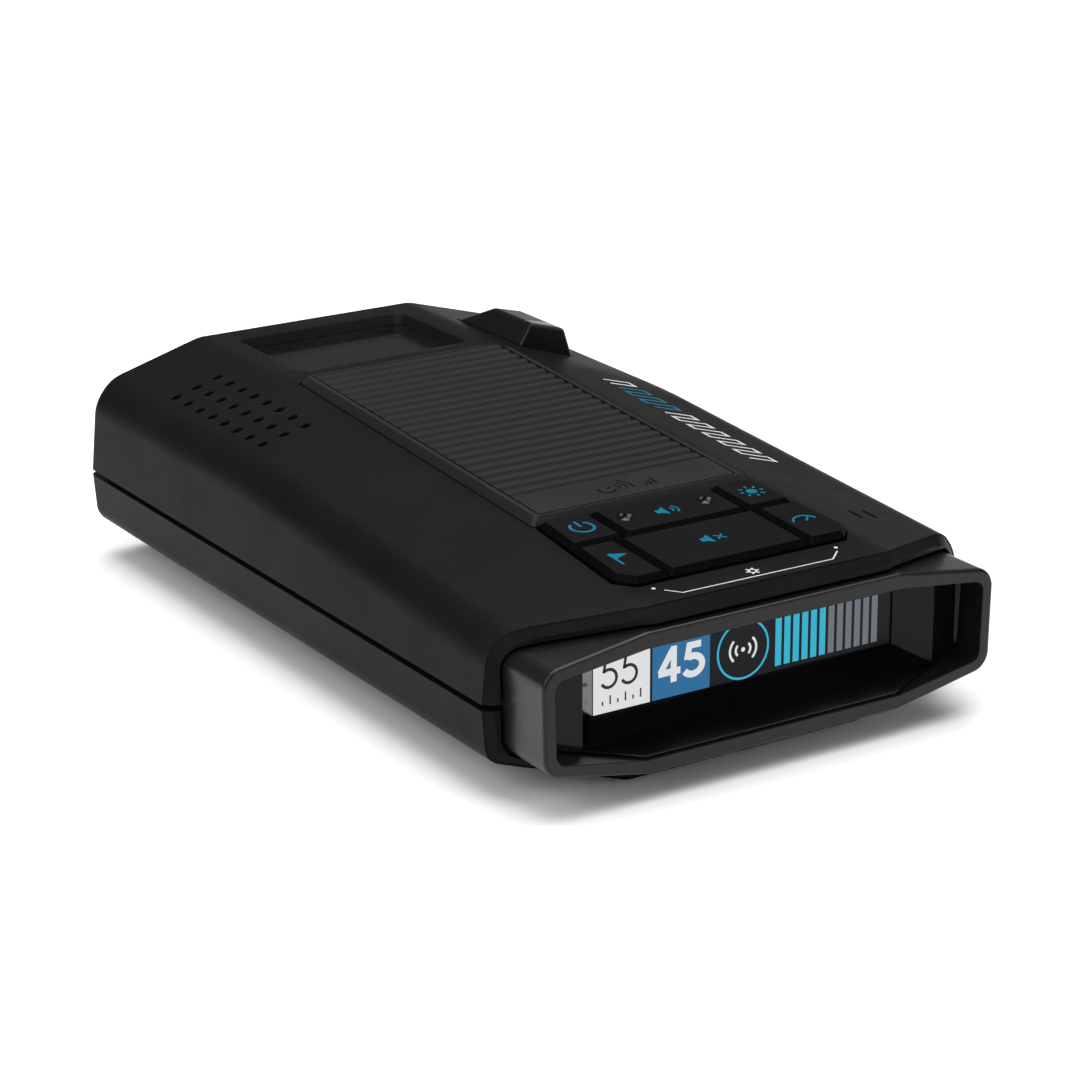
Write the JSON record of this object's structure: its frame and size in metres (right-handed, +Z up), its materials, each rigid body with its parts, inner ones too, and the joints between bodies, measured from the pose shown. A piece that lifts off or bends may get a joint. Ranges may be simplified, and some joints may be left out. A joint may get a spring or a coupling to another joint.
{
  "type": "radar detector",
  "caption": "Windscreen radar detector: faceted plastic body, hooded display, roof keypad, ribbed satellite-antenna panel, speaker grille, magnet mount socket and laser turret.",
  "frame": {"origin": "centre of the underside, on the surface that the base pad rests on", "axes": "+Z up, +Y from the display end towards the antenna end, +X to the right as the driver reads the display"},
  "size_m": [0.0814, 0.1348, 0.0367],
  "materials": {
    "shell_plastic": "matte, fine spark-eroded grain",
    "key_plastic": "satin moulded keys",
    "hood_gloss": "high gloss black",
    "display_glass": "clear dark window",
    "screen": "lit display panel",
    "laser_window": "infrared-passing dark plastic",
    "circuit_board": "solder mask",
    "ceramic": "fired ceramic block",
    "switch_metal": "pressed tin-plated can",
    "cast_zinc": "as cast",
    "steel": "plated",
    "magnet_metal": "nickel plated",
    "rubber": "soft gasket",
    "cone_paper": "pressed pulp",
    "flex_cable": "polyimide film",
    "label": "blank satin foil"
  },
  "bodies": {
    "root": {"top_shell": "shell_plastic", "bottom_shell": "shell_plastic", "display_hood": "hood_gloss", "display_bezel": "hood_gloss", "display_window": "display_glass", "oled_panel": "screen", "display_board": "circuit_board", "display_flex": "flex_cable", "keypad_frame": "shell_plastic", "keypad_board": "circuit_board", "switch_power": "switch_metal", "switch_volume_minus": "switch_metal", "switch_volume_plus": "switch_metal", "switch_brightness": "switch_metal", "switch_mark": "switch_metal", "switch_mute": "switch_metal", "switch_sensitivity": "switch_metal", "gps_panel": "shell_plastic", "gps_patch_antenna": "ceramic", "gps_board": "circuit_board", "horn_antenna": "cast_zinc", "mixer_board": "circuit_board", "front_laser_lens": "laser_window", "front_laser_sensor": "circuit_board", "rear_laser_cover": "shell_plastic", "rear_laser_window": "laser_window", "rear_laser_sensor": "circuit_board", "speaker_basket": "steel", "speaker_cone": "cone_paper", "speaker_magnet": "magnet_metal", "speaker_gasket": "rubber", "mount_tray": "shell_plastic", "mount_magnet_1": "magnet_metal", "mount_magnet_2": "magnet_metal", "mount_magnet_3": "magnet_metal", "mount_magnet_4": "magnet_metal", "main_board": "circuit_board", "shield_can": "cast_zinc", "side_board": "circuit_board", "power_jack": "key_plastic", "audio_jack": "key_plastic", "usb_port": "cast_zinc", "backup_capacitor": "steel", "housing_screw_1": "steel", "housing_screw_2": "steel", "housing_screw_3": "steel", "housing_screw_4": "steel", "rating_label": "label"},
    "power_button": {"power_button": "key_plastic"},
    "volume_rocker": {"volume_rocker": "key_plastic"},
    "brightness_button": {"brightness_button": "key_plastic"},
    "mark_button": {"mark_button": "key_plastic"},
    "mute_button": {"mute_button": "key_plastic"},
    "sensitivity_button": {"sensitivity_button": "key_plastic"}
  },
  "joints": [
    {"name": "power_press", "type": "slide", "parent": "root", "child": "power_button", "axis": [0, 0.0612, -0.9981], "range_m": [0, 0.0005], "stiffness_N_per_m": 600, "springref_m": -0.0004},
    {"name": "volume_tilt", "type": "hinge", "parent": "root", "child": "volume_rocker", "pos_m": [0.0005, -0.03984, 0.02731], "axis": [0, 0.9981, 0.0612], "range_deg": [-2.5, 2.5], "stiffness_Nm_per_rad": 0.05},
    {"name": "brightness_press", "type": "slide", "parent": "root", "child": "brightness_button", "axis": [0, 0.0612, -0.9981], "range_m": [0, 0.0005], "stiffness_N_per_m": 600, "springref_m": -0.0004},
    {"name": "mark_press", "type": "slide", "parent": "root", "child": "mark_button", "axis": [0, 0.0612, -0.9981], "range_m": [0, 0.0005], "stiffness_N_per_m": 600, "springref_m": -0.0004},
    {"name": "mute_press", "type": "slide", "parent": "root", "child": "mute_button", "axis": [0, 0.0612, -0.9981], "range_m": [0, 0.0005], "stiffness_N_per_m": 600, "springref_m": -0.0004},
    {"name": "sensitivity_press", "type": "slide", "parent": "root", "child": "sensitivity_button", "axis": [0, 0.0612, -0.9981], "range_m": [0, 0.0005], "stiffness_N_per_m": 600, "springref_m": -0.0004}
  ]
}
